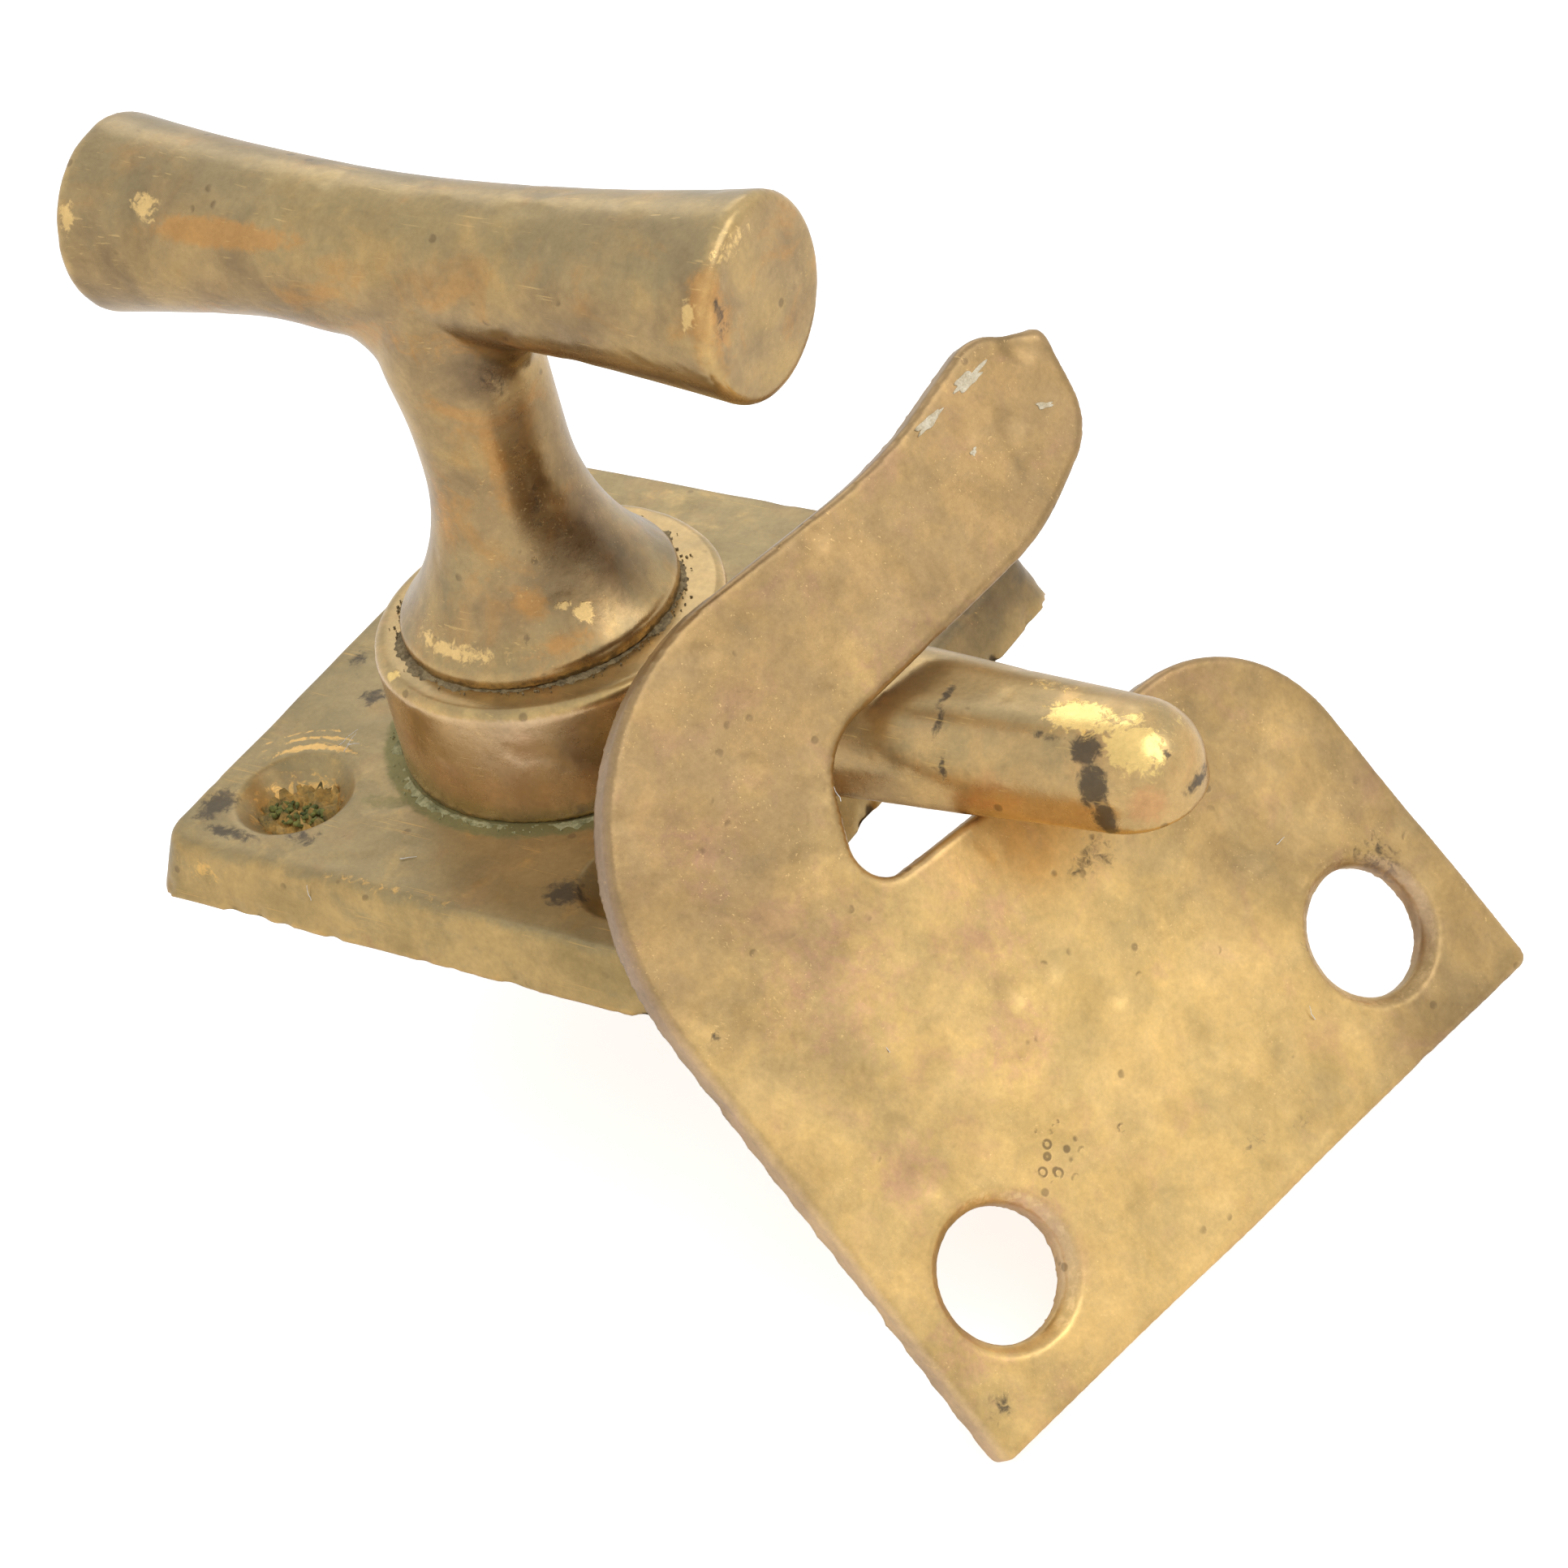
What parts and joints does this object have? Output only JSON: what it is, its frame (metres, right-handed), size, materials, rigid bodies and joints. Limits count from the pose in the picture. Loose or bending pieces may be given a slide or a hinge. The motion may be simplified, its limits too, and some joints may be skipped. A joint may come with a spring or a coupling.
{
  "type": "t-handle turn latch with hook keeper",
  "caption": "Brass turn latch: a T-handle on a nearly square screw-down base swings a round-nosed tongue into the open slot of a separate flat hook keeper.",
  "frame": {"origin": "centre of the base plate's four screw holes, at the plate's back (mounting) face", "axes": "+Z out of the plate, parallel to the spindle and towards the handle; +X the way the closed tongue points (it rests 2 degrees towards +Y); the spindle's axis is at Y = -2.2 mm"},
  "size_m": [0.0916, 0.0629, 0.0729],
  "materials": {
    "base_brass": "aged, olive-brown with grey blotches",
    "handle_brass": "aged brown, worn golden on the rims",
    "tongue_brass": "aged brown hub, rubbed bright towards the tip",
    "keeper_brass": "satin yellow brass with copper-pink patches",
    "spring_bronze": "plain spring bronze, dull",
    "hidden_brass": "dull turned brass"
  },
  "bodies": {
    "base": {"base_plate": "base_brass", "spring_washer": "spring_bronze"},
    "handle": {"t_handle": "handle_brass", "tongue": "tongue_brass", "retaining_washer": "hidden_brass", "tail_screw": "hidden_brass"},
    "keeper": {"hook_keeper": "keeper_brass"}
  },
  "joints": [
    {"name": "handle_turn", "type": "hinge", "parent": "base", "child": "handle", "pos_m": [0, -0.0022, 0.0046], "axis": [0, 0, 1], "range_deg": [-1.5, 180]},
    {"name": "keeper_slide", "type": "slide", "parent": "base", "child": "keeper", "axis": [-0.2244, -0.9739, -0.033], "range_m": [0, 0.045]}
  ]
}
